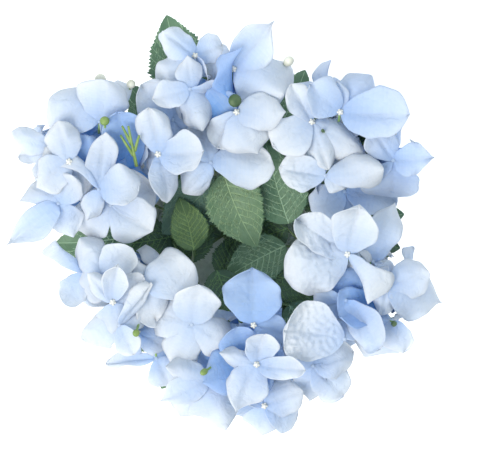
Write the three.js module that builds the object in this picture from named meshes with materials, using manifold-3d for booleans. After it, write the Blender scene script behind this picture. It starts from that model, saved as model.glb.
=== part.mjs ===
// An artificial hydrangea bush in a plain round pot.
//
// A knuckle on a short main stem stands on the plaster that fills the pot. Six wired boughs fan out of the
// knuckle, and each one carries a flower head: pedicels that spread from a hub to florets, every floret a few
// cupped petals round a bead. Each bough also carries a spray of leaves. Millimetres, +Z up, +Y towards the
// back, with the origin at the middle of the pot's flat underside.

import * as THREE from "three";
import { mergeVertices } from "three/addons/utils/BufferGeometryUtils.js";
import Module from "manifold-3d";

const wasm = await Module();
wasm.setup();
const { Manifold } = wasm;

// ---- driving dimensions ----

const CLEARANCE = 0.3; // between pieces that touch
const SAME_POINT = 1e-3; // corners nearer than this are one

const POT = {
  height: 100, rimRadius: 62, footRadius: 46, wall: 4, floor: 6, lip: 3.2, lipDepth: 11, edge: 1.5,
};
const PLASTER = { top: 86, dish: 1.5, level: 12 }; // flat out to the level radius, then dished to its edge
const STEM = {
  height: 25, footRadius: 10, footHeight: 3, waistRadius: 6.2, waistHeight: 9, knuckleRadius: 8.8,
  knuckleDepth: 7, chamfer: 1,
};
const BOUGH = { ring: 5.9, rootRadius: 2.5, tipRadius: 1.8, climb: 7, leastBend: 2, sweep: 0.3, steps: 8 };
const SIDES = { pot: 40, stem: 16, bough: 8, twig: 6, wire: 3 };

const HEAD = { centreHeight: 172, hubDrop: 23, stemLength: 13, stemRadius: 1.7, hubRadius: 3.6, lean: 0.42 };
const FLORET = { dome: 37, upturn: 0.3, beadRadius: 3.1, beadTurn: 0.4, pedicelRadius: 1.1, pinwheel: 9 };
const PETAL = { length: 33, width: 34, thickness: 1.1, rise: 0.1, cup: 0.17, sag: 0.2 };
const LEAF = { length: 56, width: 42, thickness: 0.8, fold: 0.1, droop: 0.12 };
const TWIG = { length: 7, radius: 1.3, nodeRadius: 2, petioleRadius: 0.95, at: 0.6, lift: 0.6 };

// What a petal tries when something is in its way: bends as shares of its length, at each trim of its size.
const PETAL_BENDS = [0, -0.2, -0.4, 0.25, -0.6, -0.8];
const PETAL_TRIMS = [1, 0.8, 0.6];

// One side of a petal's rim, as shares of its length and half width: claw, widest place and end. The end
// draws in towards a pointed tip and out towards a square one.
const PETAL_SIDE = { start: 0.05, claw: 0.06, widest: 0.52, end: 0.94, endWidth: 0.5, draw: 0.4 };

// The florets under each head's open side: a skirt round its dome, spaced by a seeded rule.
const SKIRT = { count: 6, lean: 94, leanSwing: 9, reach: 0.96, scale: 0.82 };

// One entry per flower head, anticlockwise from the back: the bearing and reach of its centre in plan, the
// share of the full dome that its skirt hangs from, and the florets that show from above. A floret is the
// place of its bead, east, north and up, then its petals: heading, pitch above level, roll, length and width,
// and, where it matters, how pointed (above 0) or square (below 0) the tip is.
const HEADS = [
  {
    name: "north", bearing: 96, reach: 83, dome: 0.9, florets: [
      [[-25, 90, 203], [290, -8, 0, 28, 23], [195, -12, 0, 25, 19], [92, -8, 0, 21, 18],
        [345, -10, 55, 25, 17]],
      [[-22, 112, 197], [147, 16, 8, 27, 20], [217, 8, 0, 28, 26], [20, -25, 0, 21, 20],
        [305, -20, 55, 18, 15]],
      [[3, 103, 199], [335, 12, 0, 37, 40], [46, 4, 0, 39, 28, 1], [155, -18, 0, 27, 24]],
      [[4, 84, 195], [112, 22, 62, 33, 21, 1], [140, -42, 0, 30, 28]],
      [[5, 75, 204], [358, -6, 0, 31, 25], [297, -12, 0, 31, 34], [238, -22, 0, 28, 23]],
      [[-12, 43, 187], [358, 4, 0, 42, 29], [228, -14, 0, 30, 21], [110, -4, 0, 31, 24]],
      [[-46, 48, 196], [358, 4, 0, 31, 28], [94, 14, -10, 32, 23], [281, -8, -24, 33, 22],
        [185, -62, 0, 20, 20]],
      [[-37, 71, 184], [135, 0, 0, 31, 27], [20, 0, 0, 28, 26], [250, -30, 0, 28, 26]],
      [[-12, 57, 184], [70, -5, 0, 25, 26], [350, -8, 0, 22, 22], [150, -15, 0, 24, 22]],
    ],
  },
  {
    name: "northwest", bearing: 155, reach: 100, dome: 0.9, florets: [
      [[-84, 25, 204], [8, 8, 0, 27, 27], [86, -4, 0, 37, 20], [106, 4, 62, 37, 13], [250, -8, 0, 22, 15]],
      [[-103, 43, 205], [108, 8, 0, 27, 23], [215, -12, 0, 27, 25], [168, -4, 0, 23, 14],
        [290, -18, 30, 25, 15]],
      [[-84, 69, 198], [82, 8, 0, 28, 34], [159, 0, 12, 36, 32, -1], [45, -8, 30, 33, 17],
        [350, -45, 0, 30, 28]],
      [[-116, 51, 196], [161, -5, 0, 27, 17], [186, -18, 0, 24, 13], [60, -10, 0, 20, 18],
        [270, -30, 0, 24, 24]],
      [[-77, 15, 196], [325, -8, 0, 32, 33], [27, -4, 0, 32, 33], [212, -12, 0, 33, 28],
        [150, -25, 0, 28, 26]],
      [[-63, 38, 186], [105, 0, 0, 38, 30], [285, -10, 0, 30, 26], [200, -15, 0, 24, 24]],
      [[-111, 16, 196], [223, -7, 0, 41, 21, 1], [60, 10, 0, 23, 23], [290, -26, 0, 25, 23],
        [168, -8, -35, 24, 16]],
    ],
  },
  {
    name: "southwest", bearing: 215, reach: 74, dome: 0.62, florets: [
      [[-54, -41, 203], [32, -3, 0, 36, 35, -1], [112, -24, 0, 22, 16], [290, -38, 0, 24, 24]],
      [[-75, -48, 204], [85, 10, 0, 27, 17], [130, 5, 0, 25, 12], [275, -13, 0, 30, 24],
        [35, -32, 0, 22, 18]],
      [[-71, -63, 200], [57, 13, 60, 35, 17], [300, -8, 0, 21, 17], [40, -32, 0, 27, 22],
        [200, -30, 0, 26, 24]],
      [[-82, -31, 200], [122, 0, 0, 29, 22], [45, -12, 0, 25, 24], [215, -25, 0, 26, 24]],
      [[-94, -30, 191], [120, -5, 58, 30, 17], [236, -14, 0, 21, 20], [262, -24, 0, 36, 22],
        [310, -20, 0, 26, 22]],
      [[-24, -63, 196], [80, 8, 0, 29, 31], [335, -6, 0, 31, 26], [160, -4, 0, 32, 27],
        [246, -9, 0, 32, 26]],
      [[-60, -68, 189], [328, -26, 0, 26, 20], [220, -30, 0, 26, 24], [120, -6, 0, 24, 22],
        [40, -12, 0, 22, 22]],
      [[-48, -86, 181], [182, -4, 45, 34, 12], [60, -20, 0, 26, 26], [300, -30, 0, 22, 22]],
    ],
  },
  {
    name: "south", bearing: 279, reach: 87, dome: 0.84, florets: [
      [[-2, -84, 188], [110, -6, 0, 24, 24], [20, -10, 0, 24, 24], [200, -8, 0, 26, 26],
        [285, -8, 0, 24, 24]],
      [[18, -88, 207], [80, -18, 0, 20, 22], [165, -4, 0, 25, 13], [350, -5, 0, 31, 16],
        [242, -13, 0, 30, 28]],
      [[16, -63, 198], [92, -2, 0, 37, 38], [345, -22, 0, 25, 23], [195, -32, 0, 21, 19],
        [270, -45, 0, 22, 22]],
      [[-14, -98, 195], [165, -4, 0, 27, 19], [208, -9, 0, 34, 20, 1], [292, -14, 0, 36, 36],
        [236, -10, 0, 38, 32]],
      [[23, -116, 193], [22, -4, 0, 27, 25], [342, -16, 0, 31, 26], [262, -28, 0, 20, 25],
        [150, -18, 28, 23, 14]],
      [[55, -90, 191], [15, -8, 0, 30, 26], [262, -18, 0, 30, 24], [314, -18, 0, 33, 27],
        [150, -4, 0, 32, 24]],
    ],
  },
  {
    name: "southeast", bearing: 336, reach: 99, dome: 0.8, florets: [
      [[89, -38, 191], [15, -10, 0, 24, 24], [105, -12, 0, 24, 24], [195, -10, 0, 24, 24],
        [280, -10, 0, 26, 26]],
      [[77, -17, 203], [78, 12, 0, 34, 31], [197, 4, 0, 43, 38, -0.6], [146, -9, 0, 41, 24, 0],
        [300, 14, 62, 35, 17]],
      [[75, -72, 201], [167, 7, 0, 41, 40, -1], [60, -20, 0, 26, 24]],
      [[76, -47, 199], [313, 0, 14, 38, 24], [200, -25, 0, 27, 24]],
      [[103, -37, 204], [12, 0, 0, 28, 26], [337, -7, 0, 42, 33, 0.7], [255, -14, 0, 21, 14],
        [160, -48, 0, 20, 22]],
      [[106, -60, 198], [237, -13, 0, 36, 32], [286, -18, 0, 25, 21], [200, -18, 0, 33, 27]],
      [[94, -22, 193], [74, -4, 0, 40, 23], [8, -32, 0, 18, 18]],
    ],
  },
  {
    name: "northeast", bearing: 33, reach: 99, dome: 0.8, florets: [
      [[54, 69, 198], [215, 5, 0, 30, 28], [285, -8, 0, 33, 19], [120, 0, 0, 28, 18], [328, -5, 0, 43, 22]],
      [[72, 75, 201], [353, 5, 0, 45, 34], [50, -9, 0, 33, 27], [142, 4, 0, 27, 26], [100, -10, 0, 19, 14]],
      [[63, 34, 195], [172, -5, 0, 31, 25, -0.3], [7, 5, 0, 38, 23, -1], [325, -8, 0, 15, 14]],
      [[107, 44, 195], [0, -4, 0, 25, 22, 1], [125, -4, 0, 24, 22], [266, -22, 0, 32, 38],
        [190, -25, 0, 26, 24]],
      [[76, 24, 181], [350, -4, 0, 39, 25], [215, -14, 0, 26, 26], [306, -18, 0, 28, 26]],
      [[63, 84, 185], [90, 0, 28, 26, 9], [30, -20, 0, 22, 22], [170, -25, 0, 26, 24]],
      [[88, 78, 187], [58, -4, 0, 16, 18], [330, -20, 0, 23, 23], [120, -20, 0, 15, 16]],
    ],
  },
];

// Leaves in the gap between the heads and past their rim: the bough that carries each, its base, heading,
// pitch below level, and length as a share of a full leaf.
const SHOWN_LEAVES = [
  { bough: "north", base: [-4, 37, 158], heading: 294, pitch: 6, share: 1.0 },
  { bough: "north", base: [-9, 34, 152], heading: 226, pitch: 4, share: 0.96 },
  { bough: "north", base: [-24, 83, 158], heading: 107, pitch: -4, share: 1.12 },
  { bough: "northeast", base: [40, 3, 148], heading: 106, pitch: -8, share: 1.0 },
  { bough: "southwest", base: [-23, -12, 132], heading: 106, pitch: 0, share: 0.98 },
  { bough: "southeast", base: [38, -12, 134], heading: 209, pitch: 2, share: 0.86 },
  { bough: "south", base: [-9, -29, 136], heading: 290, pitch: -4, share: 0.8 },
  { bough: "south", base: [26, -32, 132], heading: 342, pitch: -2, share: 0.8 },
];

// Each bough's own leaves: one in the gap beside its head, and two that hang below the head.
const GAP_LEAF = { from: 66, height: 140, pitch: -4, share: 0.95 };
const UNDER_LEAVES = [
  { from: 60, height: 127, turn: 15, pitch: 10, share: 1.0 },
  { from: 60, height: 117, turn: 46, pitch: 18, share: 0.92 },
];

const COLOURS = {
  pot: "#f1f1ee", plaster: "#a7aeb0", stem: "#4d6b34", petals: "#c6d6f2", leaves: "#5d7f58",
};

// ---- small helpers ----

const UP = new THREE.Vector3(0, 0, 1);
const radians = THREE.MathUtils.degToRad;

// A repeatable stream of numbers from 0 to 1. The first is passed over, since near seeds start alike.
function seeded(seed) {
  let state = seed;
  const next = () => {
    state = (state * 16807) % 2147483647;
    return state / 2147483647;
  };
  next();
  return next;
}

function inPlan(bearing, reach, height) {
  return new THREE.Vector3(reach * Math.cos(radians(bearing)), reach * Math.sin(radians(bearing)), height);
}

// The closed solid inside a geometry's faces.
function solid(geometry) {
  const bare = new THREE.BufferGeometry().setAttribute("position", geometry.getAttribute("position"));
  if (geometry.index) bare.setIndex(geometry.index);
  const merged = mergeVertices(bare, SAME_POINT);
  return new Manifold(
    new wasm.Mesh({
      numProp: 3,
      vertProperties: merged.attributes.position.array,
      triVerts: new Uint32Array(merged.index.array),
    }),
  );
}

// The pieces joined into one body: sealed hollows between them filled, loose scraps dropped.
function fused(parts) {
  const shells = solid(geometryOf(Manifold.union(parts))).decompose();
  return shells.reduce((largest, shell) => (shell.volume() > largest.volume() ? shell : largest));
}

const meets = (body, other) => !body.intersect(other).isEmpty();

function geometryOf(body) {
  const { vertProperties, triVerts } = body.getMesh();
  return new THREE.BufferGeometry()
    .setAttribute("position", new THREE.BufferAttribute(vertProperties, 3))
    .setIndex(new THREE.BufferAttribute(triVerts, 1));
}

// A round solid of revolution about Z from [radius, height] pairs that start and end on the axis.
function turned(profile, sides) {
  const points = profile.map(([radius, height]) => new THREE.Vector2(radius, height));
  return new THREE.LatheGeometry(points, sides).rotateX(Math.PI / 2);
}

// A tapering limb: a cylinder bent onto a curve.
function limb(curve, rootRadius, tipRadius, sides, steps) {
  const geometry = new THREE.CylinderGeometry(1, 1, 1, sides, steps);
  const frames = curve.computeFrenetFrames(steps);
  const position = geometry.getAttribute("position");
  for (let i = 0; i < position.count; i++) {
    const along = position.getY(i) + 0.5;
    const step = Math.round(along * steps);
    const radius = THREE.MathUtils.lerp(rootRadius, tipRadius, along);
    const point = curve
      .getPointAt(along)
      .addScaledVector(frames.normals[step], radius * position.getZ(i))
      .addScaledVector(frames.binormals[step], radius * position.getX(i));
    position.setXYZ(i, ...point);
  }
  return geometry;
}

const straightLimb = (from, to, rootRadius, tipRadius, sides) =>
  limb(new THREE.LineCurve3(from, to), rootRadius, tipRadius, sides, 1);

// A thin closed blade: an upper and a lower fan that share a rim.
function blade(rim, crown, foot) {
  const corners = rim.flatMap((point, i) => {
    const next = rim[(i + 1) % rim.length];
    return [crown, point, next, foot, next, point];
  });
  return new THREE.BufferGeometry().setFromPoints(corners);
}

// ---- pot, plaster and main stem ----

function pot() {
  const { height, rimRadius, footRadius, wall, floor, lip, lipDepth, edge } = POT;
  const wallAt = (z) => THREE.MathUtils.lerp(footRadius, rimRadius - lip, z / height);
  const bore = rimRadius - lip - wall;
  return turned(
    [
      [0, 0],
      [footRadius - edge, 0],
      [footRadius, edge],
      [wallAt(height - lipDepth), height - lipDepth],
      [rimRadius, height - lipDepth + edge],
      [rimRadius, height - edge],
      [rimRadius - edge, height],
      [bore + edge, height],
      [bore, height - edge],
      [wallAt(floor) - wall, floor],
      [0, floor],
    ],
    SIDES.pot,
  );
}

// The bore's radius at a height, so that what fills the pot follows its wall.
function boreAt(z) {
  const { height, rimRadius, footRadius, wall, floor, lip, edge } = POT;
  const atFloor = THREE.MathUtils.lerp(footRadius, rimRadius - lip, floor / height) - wall;
  const atTop = rimRadius - lip - wall;
  return THREE.MathUtils.mapLinear(z, floor, height - edge, atFloor, atTop);
}

function plaster() {
  const low = POT.floor + CLEARANCE;
  const edge = PLASTER.top - PLASTER.dish;
  return turned(
    [
      [0, low],
      [boreAt(low) - CLEARANCE, low],
      [boreAt(edge) - CLEARANCE, edge],
      [PLASTER.level, PLASTER.top],
      [0, PLASTER.top],
    ],
    SIDES.pot,
  );
}

const stemFoot = PLASTER.top + CLEARANCE;
const knuckleTop = stemFoot + STEM.height;

function mainStem() {
  const { footRadius, footHeight, waistRadius, waistHeight, knuckleRadius, knuckleDepth, chamfer } = STEM;
  return turned(
    [
      [0, stemFoot],
      [footRadius, stemFoot],
      [(footRadius + waistRadius) / 2, stemFoot + footHeight],
      [waistRadius, stemFoot + waistHeight],
      [waistRadius, knuckleTop - knuckleDepth],
      [knuckleRadius, knuckleTop - knuckleDepth / 2],
      [knuckleRadius, knuckleTop - chamfer],
      [knuckleRadius - chamfer, knuckleTop],
      [0, knuckleTop],
    ],
    SIDES.stem,
  );
}

// ---- boughs ----

// The points that a bough and its flower head share.
function headPlan({ bearing, reach }) {
  const centre = inPlan(bearing, reach, HEAD.centreHeight);
  const rise = inPlan(bearing, HEAD.lean, 1).normalize();
  const hub = centre.clone().addScaledVector(rise, -HEAD.hubDrop);
  const tip = hub.clone().addScaledVector(rise, -HEAD.stemLength);
  return { centre, rise, hub, tip };
}

function boughCurve(head) {
  const { rise, tip } = headPlan(head);
  const root = inPlan(head.bearing, BOUGH.ring, knuckleTop + CLEARANCE);
  const bend = tip.clone().addScaledVector(rise, -BOUGH.sweep * head.reach);
  bend.z = Math.max(bend.z, root.z + BOUGH.leastBend);
  const out = root.clone().addScaledVector(UP, BOUGH.climb);
  return new THREE.CubicBezierCurve3(root, out, bend, tip);
}

// ---- florets and flower heads ----

// A petal's frame and sizes, with its chance cup, sag and tip.
function petal(along, normal, length, width, seed, tip) {
  const random = seeded(seed);
  const between = (least, most) => THREE.MathUtils.lerp(least, most, random());
  const blunt = between(-0.8, 0.5);
  const cup = between(-0.9, 1.1) * PETAL.cup;
  const sag = between(-0.8, 1.8) * PETAL.sag;
  return { along, normal, across: normal.clone().cross(along), length, width, cup, sag, tip: tip ?? blunt };
}

// A listed floret: its bead, and each petal posed by its own row.
function shownFloret([bead, ...rows], seed) {
  const petals = rows.map(([heading, pitch, roll, length, width, tip], i) => {
    const level = inPlan(heading, 1, 0);
    const across = UP.clone().cross(level);
    const along = level.applyAxisAngle(across, radians(-pitch));
    const normal = along.clone().cross(across).applyAxisAngle(along, radians(roll));
    return petal(along, normal, length, width, 4 * seed + i, tip);
  });
  return { shown: true, bead: new THREE.Vector3(...bead), petals };
}

// A floret on a dome: its bead, and four petals that each lie over one neighbour and under the other.
function domedFloret({ centre, bearing, lean, heading, reach, scale }, seed) {
  const random = seeded(seed);
  const outward = inPlan(bearing, Math.sin(radians(lean)), Math.cos(radians(lean)));
  const bead = centre.clone().addScaledVector(outward, FLORET.dome * reach);
  const facing = outward.clone().addScaledVector(UP, FLORET.upturn).normalize();
  const first = inPlan(heading, 1, 0).projectOnPlane(facing).normalize();
  const petals = [0, 1, 2, 3].map((quarter) => {
    const along = first.clone().applyAxisAngle(facing, radians(90 * quarter + 10 * (random() - 0.5)));
    const size = (0.92 + 0.16 * random()) * scale;
    const normal = facing.clone().applyAxisAngle(along, radians(FLORET.pinwheel));
    return petal(along, normal, PETAL.length * size, PETAL.width * size, 4 * seed + quarter);
  });
  return { shown: false, bead, petals };
}

// The florets of a head: the listed ones, then its skirt.
function headFlorets(head) {
  const order = HEADS.indexOf(head) + 1;
  const seedOf = (index) => 1009 * order + 31 * index + 7;
  const random = seeded(577 * order);
  const turn = 360 * random();
  const skirt = Array.from({ length: SKIRT.count }, (_, i) => ({
    centre: headPlan(head).centre,
    bearing: turn + (360 / SKIRT.count) * (i + 0.3 * random()),
    lean: SKIRT.lean + SKIRT.leanSwing * (2 * random() - 1),
    heading: 360 * random(),
    reach: SKIRT.reach * head.dome,
    scale: SKIRT.scale,
  }));
  return [
    ...head.florets.map((row, index) => shownFloret(row, seedOf(index))),
    ...skirt.map((row, index) => domedFloret(row, seedOf(head.florets.length + index))),
  ];
}

// A petal as a thin cupped blade, at a bend and a trim of its size, and grown by an extra all round.
function petalSolid(bead, { along, across, normal, tip, cup, sag, ...size }, bend, trim, extra) {
  const length = size.length * trim + extra;
  const half = (size.width / 2) * trim + extra;
  const height = (s, droop) =>
    length * (PETAL.rise * s + (cup + bend) * s * s - droop * Math.min(1.4 * s, 1));
  const at = (s, t, droop) =>
    bead
      .clone()
      .addScaledVector(along, length * s)
      .addScaledVector(across, half * t)
      .addScaledVector(normal, height(s, droop));
  const { start, claw, widest, end, endWidth, draw } = PETAL_SIDE;
  const side = [[start, claw], [widest, 1], [end, endWidth - draw * tip]];
  const right = side.map(([s, t]) => at(s, -t, sag));
  const left = side.map(([s, t]) => at(s, t, sag)).reverse();
  const thick = PETAL.thickness / 2 + extra;
  const crown = at(0.5, 0, 0).addScaledVector(normal, thick);
  const foot = at(0.5, 0, 0).addScaledVector(normal, -thick);
  return solid(blade([...right, ...left], crown, foot));
}

// The solids of a floret. A petal in the way of another bends past it, or is trimmed. Where neither clears
// its own head a shown petal grows through, and no petal is kept that would meet anything else.
function floretParts({ shown, bead, petals }, hub, own, obstacle) {
  const { pedicelRadius, beadRadius, beadTurn } = FLORET;
  const pedicel = solid(straightLimb(hub, bead, pedicelRadius * 1.2, pedicelRadius, SIDES.wire));
  const ball = new THREE.OctahedronGeometry(beadRadius).rotateX(beadTurn).rotateY(beadTurn);
  const eye = solid(ball.translate(...bead));
  if (meets(pedicel, obstacle) || meets(eye, obstacle)) return [];
  const everything = Manifold.union([obstacle, ...own]);
  const tries = PETAL_TRIMS.flatMap((trim) => PETAL_BENDS.map((bend) => [bend, trim]));
  const blades = petals.flatMap((row) => {
    const clears = (solids) => tries.find((way) => !meets(petalSolid(bead, row, ...way, CLEARANCE), solids));
    const way = clears(everything) ?? (shown ? clears(obstacle) : undefined);
    return way ? [petalSolid(bead, row, ...way, 0)] : [];
  });
  return blades.length ? [pedicel, eye, ...blades] : [];
}

function stalk(head) {
  const { rise, hub, tip } = headPlan(head);
  const foot = tip.clone().addScaledVector(rise, CLEARANCE);
  return [
    solid(straightLimb(foot, hub, BOUGH.tipRadius, HEAD.stemRadius, SIDES.twig)),
    solid(new THREE.OctahedronGeometry(HEAD.hubRadius).translate(...hub)),
  ];
}

// All flower heads, each one body. The florets that show are placed on every head before the hidden ones.
function flowerHeads(rest) {
  const heads = HEADS.map((head) => ({
    name: head.name,
    hub: headPlan(head).hub,
    florets: headFlorets(head),
    parts: stalk(head),
  }));
  for (const inView of [true, false]) {
    for (const head of heads) {
      const others = heads.filter((other) => other !== head).flatMap(({ parts }) => parts);
      const obstacle = Manifold.union([rest, ...others]);
      for (const floret of head.florets.filter(({ shown }) => shown === inView)) {
        head.parts.push(...floretParts(floret, head.hub, head.parts, obstacle));
      }
    }
  }
  return heads.map(({ name, parts }) => ({ name, body: fused(parts) }));
}

// ---- leaf sprays ----

const leafHalfWidth = (s) => (LEAF.width / 2) * Math.sin(Math.PI * s ** 0.72) ** 0.85;

const LEAF_STATIONS = [0.14, 0.4, 0.72];

function leaf({ base, heading, pitch, share }, extra = 0) {
  const length = LEAF.length * share + extra;
  const along = inPlan(heading, Math.cos(radians(pitch)), -Math.sin(radians(pitch)));
  const across = UP.clone().cross(along).normalize();
  const normal = along.clone().cross(across);
  const height = (s, t) => length * (LEAF.fold * Math.abs(t) * Math.sin(Math.PI * s) - LEAF.droop * s * s);
  const at = (s, t) =>
    base
      .clone()
      .addScaledVector(along, length * s)
      .addScaledVector(across, t * (leafHalfWidth(s) * share + extra))
      .addScaledVector(normal, height(s, t));
  const root = base.clone().addScaledVector(along, -1);
  const right = LEAF_STATIONS.map((s) => at(s, -1));
  const left = LEAF_STATIONS.map((s) => at(s, 1)).reverse();
  const half = LEAF.thickness / 2 + extra;
  const crown = at(0.42, 0).addScaledVector(normal, half);
  const foot = at(0.42, 0).addScaledVector(normal, -half);
  return solid(blade([root, ...right, at(1, 0), ...left], crown, foot));
}

function leafRows(head) {
  const next = HEADS[(HEADS.indexOf(head) + 1) % HEADS.length];
  const gap = head.bearing + ((next.bearing - head.bearing + 360) % 360) / 2;
  const shown = SHOWN_LEAVES.filter(({ bough }) => bough === head.name);
  const outward = (row, heading) => ({ ...row, heading, base: inPlan(heading, row.from, row.height) });
  return [
    ...shown.map((row) => ({ ...row, base: new THREE.Vector3(...row.base) })),
    outward(GAP_LEAF, gap),
    ...UNDER_LEAVES.map((row) => outward(row, head.bearing + row.turn)),
  ];
}

// A spray is one body: a twig that leaves the bough's side, and a petiole and blade for each leaf.
function leafSpray(head, obstacle) {
  const curve = boughCurve(head);
  const side = curve.getTangentAt(TWIG.at).cross(UP).normalize().negate();
  const lift = side.clone().cross(curve.getTangentAt(TWIG.at)).normalize();
  const away = side.addScaledVector(lift.z > 0 ? lift : lift.negate(), TWIG.lift).normalize();
  const boughRadius = THREE.MathUtils.lerp(BOUGH.rootRadius, BOUGH.tipRadius, TWIG.at);
  const root = curve.getPointAt(TWIG.at).addScaledVector(away, boughRadius + CLEARANCE);
  const node = root.clone().addScaledVector(away, TWIG.length);
  const parts = [
    solid(straightLimb(root, node, TWIG.radius, TWIG.radius, SIDES.twig)),
    solid(new THREE.OctahedronGeometry(TWIG.nodeRadius).translate(...node)),
  ];
  for (const row of leafRows(head)) {
    const { petioleRadius } = TWIG;
    const petiole = solid(straightLimb(node, row.base, petioleRadius * 1.2, petioleRadius, SIDES.wire));
    if (!meets(petiole, obstacle) && !meets(leaf(row, CLEARANCE), obstacle)) parts.push(petiole, leaf(row));
  }
  return fused(parts);
}

// ---- assembly ----

const plant = new THREE.Group();
const grown = [];

function add(name, geometry, color, roughness) {
  const material = new THREE.MeshStandardMaterial({ color, roughness, metalness: 0 });
  const mesh = new THREE.Mesh(geometry, material);
  mesh.name = name;
  plant.add(mesh);
}

function grow(name, body, color, roughness) {
  grown.push(body);
  add(name, geometryOf(body), color, roughness);
}

grow("pot", solid(pot()), COLOURS.pot, 0.35);
grow("plaster", solid(plaster()), COLOURS.plaster, 0.9);
grow("main_stem", solid(mainStem()), COLOURS.stem, 0.6);
for (const head of HEADS) {
  const bough = solid(limb(boughCurve(head), BOUGH.rootRadius, BOUGH.tipRadius, SIDES.bough, BOUGH.steps));
  grow(`bough_${head.name}`, bough, COLOURS.stem, 0.6);
}
for (const head of HEADS) {
  grow(`leaf_spray_${head.name}`, leafSpray(head, Manifold.union(grown)), COLOURS.leaves, 0.7);
}
for (const { name, body } of flowerHeads(Manifold.union(grown))) {
  grow(`flower_head_${name}`, body, COLOURS.petals, 0.8);
}

export default plant;
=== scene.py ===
"""The looks of an artificial hydrangea bush in a plain white pot.

Limbs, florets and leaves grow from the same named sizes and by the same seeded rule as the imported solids,
and are carried to finer forms: creased cloth petals, beads, buds, and toothed leaves with their veins.
Lengths are metres, or mm where a table says so. Bearings and leans are degrees.
"""

import math
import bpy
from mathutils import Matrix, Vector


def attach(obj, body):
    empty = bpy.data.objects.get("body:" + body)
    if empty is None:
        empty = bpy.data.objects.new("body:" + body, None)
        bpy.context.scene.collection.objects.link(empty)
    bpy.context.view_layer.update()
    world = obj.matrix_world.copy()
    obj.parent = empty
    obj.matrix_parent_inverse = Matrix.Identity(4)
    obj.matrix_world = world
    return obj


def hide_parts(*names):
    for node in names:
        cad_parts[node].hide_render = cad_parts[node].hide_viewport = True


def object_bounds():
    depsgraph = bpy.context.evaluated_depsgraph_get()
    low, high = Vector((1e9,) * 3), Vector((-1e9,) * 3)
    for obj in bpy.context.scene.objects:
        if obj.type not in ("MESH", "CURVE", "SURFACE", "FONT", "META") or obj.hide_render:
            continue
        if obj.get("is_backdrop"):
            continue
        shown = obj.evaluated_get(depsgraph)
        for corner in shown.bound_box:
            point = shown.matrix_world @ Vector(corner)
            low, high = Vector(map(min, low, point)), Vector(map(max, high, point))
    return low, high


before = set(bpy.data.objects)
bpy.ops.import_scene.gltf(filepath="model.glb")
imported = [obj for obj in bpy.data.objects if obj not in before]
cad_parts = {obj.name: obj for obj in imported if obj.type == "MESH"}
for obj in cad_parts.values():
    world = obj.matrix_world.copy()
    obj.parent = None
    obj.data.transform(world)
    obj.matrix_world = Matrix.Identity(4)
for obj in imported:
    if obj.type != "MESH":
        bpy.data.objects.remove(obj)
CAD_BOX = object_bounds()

from types import SimpleNamespace as Named

import bpy
import numpy as np
from mathutils import Vector
from mathutils.bvhtree import BVHTree

# ---- sizes shared with the solids ----

CLEARANCE = 0.0003
UP = np.array([0.0, 0.0, 1.0])

POT = Named(
    height=0.100, rim=0.062, foot=0.046, wall=0.004, floor=0.006, lip=0.0032, lip_depth=0.011, chamfer=0.0015
)
PLASTER = Named(top=0.086, dish=0.0015)
STEM = Named(
    height=0.025, foot=0.010, foot_height=0.003, waist=0.0062, waist_height=0.009,
    knuckle=0.0088, knuckle_depth=0.007, chamfer=0.001,
)
BOUGH = Named(ring=0.0059, root=0.0025, tip=0.0018, upright=0.007, bend=0.3, least_rise=0.002)
HEAD = Named(centre=0.172, hub_drop=0.023, stalk=0.013, stalk_radius=0.0017, hub=0.0030, lean=0.42)
FLORET = Named(dome=0.037, upturn=0.3, pedicel=0.0008)
PETAL = Named(length=0.033, width=0.034, rise=0.10, cup=0.17, sag=0.20)
PETAL_BENDS = (0, -0.2, -0.4, 0.25, -0.6, -0.8)
LEAF = Named(length=0.056, width=0.042, fold=0.10, droop=0.12)
TWIG = Named(length=0.007, radius=0.0013, petiole=0.00095, at=0.6, swell=(1, 0.9, 0.85, 0.95, 1.1))
SKIRT = Named(count=6, lean=94, swing=9, reach=0.96, scale=0.82)

# The florets of each head that show from above: cloth, place of the bead (east, north, up, mm) and petals.
# A petal is its heading, pitch above level, roll, length and width (mm), and, where it matters, how pointed
# (above 0) or square (below 0) its tip is, and how crushed its cloth is.
# A floret's cloth tone carries painted light and shade too: the palest on the south-west side that faces the
# key, lilac on the north-east side turned away from it, and dim, mid or blue where a floret sits in shadow
# between others.
NORTH = (
    ("light", (-25, 90, 203), (290, -8, 0, 28, 23), (195, -12, 0, 25, 19), (92, -8, 0, 21, 18),
     (345, -10, 55, 25, 17)),
    ("light", (-22, 112, 197), (147, 16, 8, 27, 20), (217, 8, 0, 28, 26), (20, -25, 0, 21, 20),
     (305, -20, 55, 18, 15)),
    ("light", (3, 103, 199), (335, 12, 0, 37, 40), (46, 4, 0, 39, 28, 1), (155, -18, 0, 27, 24)),
    ("blue", (4, 84, 195), (112, 22, 62, 33, 21, 1), (140, -42, 0, 30, 28)),
    ("pale", (5, 75, 204), (358, -6, 0, 31, 25), (297, -12, 0, 31, 34), (238, -22, 0, 28, 23)),
    ("light", (-12, 43, 187), (358, 4, 0, 42, 29), (228, -14, 0, 30, 21), (110, -4, 0, 31, 24)),
    ("light", (-46, 48, 196), (358, 4, 0, 31, 28), (94, 14, -10, 32, 23), (281, -8, -24, 33, 22),
     (185, -62, 0, 20, 20)),
    ("light", (-37, 71, 184), (135, 0, 0, 31, 27), (20, 0, 0, 28, 26), (250, -30, 0, 28, 26)),
    ("blue", (-12, 57, 184), (70, -5, 0, 25, 26), (350, -8, 0, 22, 22), (150, -15, 0, 24, 22)),
)
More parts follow.
